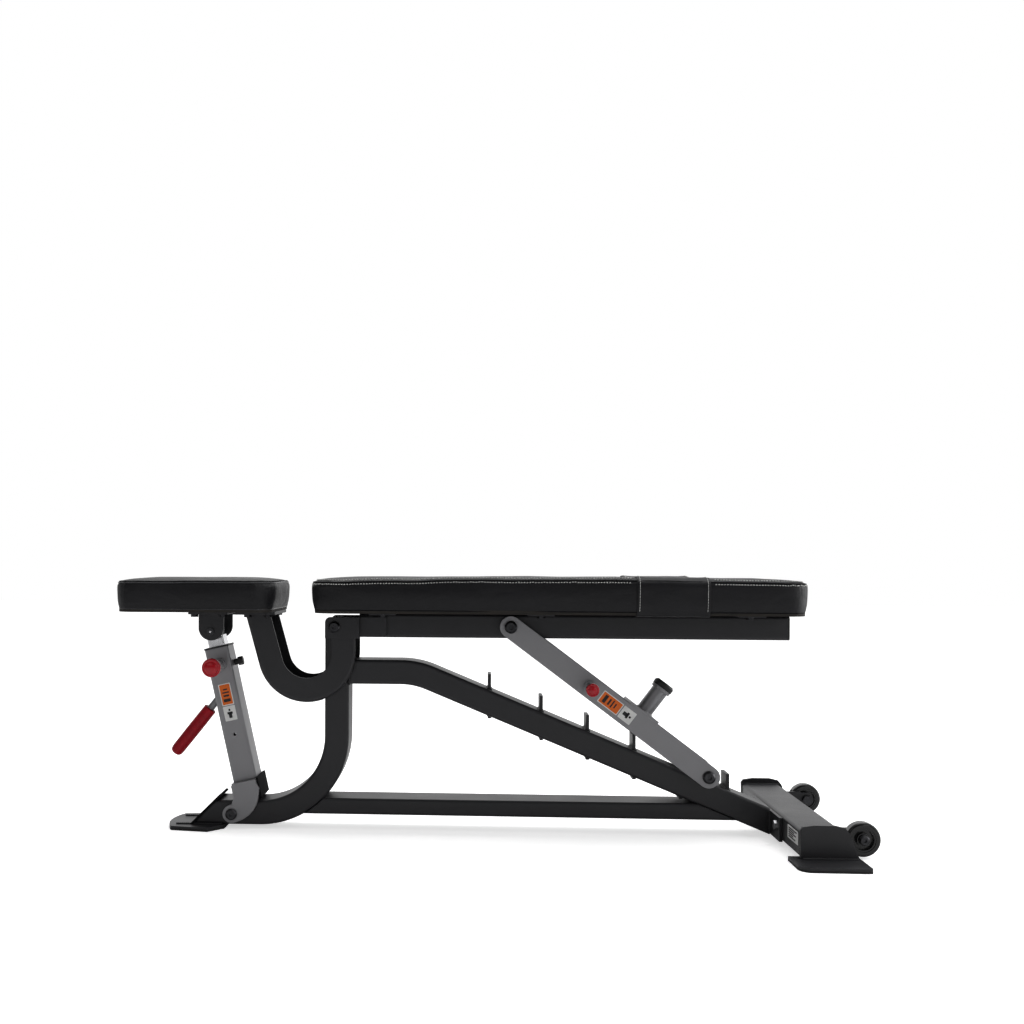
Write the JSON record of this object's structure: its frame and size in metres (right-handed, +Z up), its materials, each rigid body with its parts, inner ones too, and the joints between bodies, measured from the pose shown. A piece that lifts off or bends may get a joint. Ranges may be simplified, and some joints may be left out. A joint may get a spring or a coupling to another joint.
{
  "type": "adjustable weight bench",
  "caption": "Flat-to-incline weight bench with a rung ladder frame, a hinged back on support arms, a tilting seat on a telescopic post, and transport wheels.",
  "frame": {"origin": "on the floor under the middle of the bench's bounding box at rest", "axes": "+X along the bench from the seat towards the wheels, +Y across the bench away from the labelled side, +Z up"},
  "size_m": [1.4025, 0.602, 0.4918],
  "materials": {
    "frame_paint": "satin",
    "silver_paint": "satin",
    "black_paint": "satin",
    "bright_steel": "satin",
    "black_steel": "satin",
    "bronze": "satin",
    "black_plastic": "matte",
    "hub_plastic": "gloss",
    "black_rubber": "matte",
    "red_grip": "matte",
    "red_plastic": "gloss",
    "pad_vinyl": "satin",
    "plywood": "matte",
    "label_orange": "satin",
    "label_white": "satin"
  },
  "bodies": {
    "base": {"front_upright": "frame_paint", "front_end_cap": "black_plastic", "front_foot_plate": "frame_paint", "foot_soles": "black_rubber", "base_tube": "frame_paint", "ladder_tube": "frame_paint", "ladder_rungs": "frame_paint", "ladder_flange": "frame_paint", "flange_bolts": "bright_steel", "rear_crossbar": "frame_paint", "rear_end_plates": "frame_paint", "rear_foot_plates": "frame_paint", "wheel_brackets": "frame_paint", "wheel_axles": "black_steel", "serial_label": "label_white", "hinge_bolt": "black_steel", "hinge_bushes": "bronze", "post_pivot_bolt": "black_steel"},
    "near_wheel": {"near_tyre": "black_rubber", "near_hub": "hub_plastic"},
    "far_wheel": {"far_tyre": "black_rubber", "far_hub": "hub_plastic"},
    "seat": {"seat_arm_tube": "frame_paint", "seat_hinge_plates": "frame_paint", "seat_top_plate": "frame_paint", "seat_ears": "frame_paint", "seat_pin": "black_steel", "seat_board": "plywood", "seat_cushion": "pad_vinyl", "seat_bolts": "black_steel"},
    "post": {"seat_post_outer": "silver_paint", "post_bracket": "silver_paint", "post_bracket_web": "black_paint", "post_guide_bush": "black_plastic", "post_pin_housing": "silver_paint", "post_handle_rod": "silver_paint", "post_handle_grip": "red_grip", "post_clamp_knob": "black_plastic", "post_labels": "label_orange"},
    "post_inner": {"seat_post_inner": "bright_steel", "post_slider": "black_plastic"},
    "post_pin": {"post_pull_pin": "bright_steel", "post_pin_knob": "red_plastic"},
    "back": {"back_rail": "frame_paint", "rail_end_cap": "black_plastic", "back_hinge_plates": "frame_paint", "back_mount_plates": "frame_paint", "back_board": "plywood", "back_cushion": "pad_vinyl", "back_band": "pad_vinyl", "back_bolts": "black_steel"},
    "arms": {"support_arms": "silver_paint", "arm_pivot_bolts": "black_steel", "arm_cross_pin": "black_steel", "lift_handle": "silver_paint", "lift_handle_cap": "black_plastic", "arm_pin_housing": "silver_paint", "arm_labels": "label_orange"},
    "arm_pin": {"arm_pull_pin": "bright_steel", "arm_pin_knob": "red_plastic"}
  },
  "joints": [
    {"name": "back_hinge", "type": "hinge", "parent": "base", "child": "back", "pos_m": [-0.285, 0, 0.395], "axis": [0, -1, 0], "range_deg": [0, 69]},
    {"name": "arm_swing", "type": "hinge", "parent": "back", "child": "arms", "pos_m": [0.054, 0, 0.397], "axis": [0, 1, 0], "range_deg": [0, 97.5]},
    {"name": "seat_tilt", "type": "hinge", "parent": "base", "child": "seat", "pos_m": [-0.285, 0, 0.395], "axis": [0, 1, 0], "range_deg": [0, 20]},
    {"name": "post_swing", "type": "hinge", "parent": "base", "child": "post", "pos_m": [-0.485, 0, 0.03], "axis": [0, 1, 0], "range_deg": [0, 3.5]},
    {"name": "post_extend", "type": "slide", "parent": "post", "child": "post_inner", "axis": [-0.2212, 0, 0.9752], "range_m": [0, 0.083]},
    {"name": "post_pin_pull", "type": "slide", "parent": "post", "child": "post_pin", "axis": [0, -1, 0], "range_m": [0, 0.012], "stiffness_N_per_m": 900, "springref_m": -0.006},
    {"name": "arm_pin_pull", "type": "slide", "parent": "arms", "child": "arm_pin", "axis": [0, -1, 0], "range_m": [0, 0.01], "stiffness_N_per_m": 900, "springref_m": -0.006},
    {"name": "near_wheel_spin", "type": "hinge", "parent": "base", "child": "near_wheel", "pos_m": [0.671, -0.187, 0.034], "axis": [0, 1, 0], "continuous": true},
    {"name": "far_wheel_spin", "type": "hinge", "parent": "base", "child": "far_wheel", "pos_m": [0.671, 0.187, 0.034], "axis": [0, 1, 0], "continuous": true}
  ],
  "couplings": [
    {"joint": "arm_swing", "follows": "back_hinge", "ratio": 1.4125},
    {"joint": "post_swing", "follows": "seat_tilt", "ratio": 0.175},
    {"joint": "post_extend", "follows": "seat_tilt", "m_per_rad": 0.2372}
  ]
}
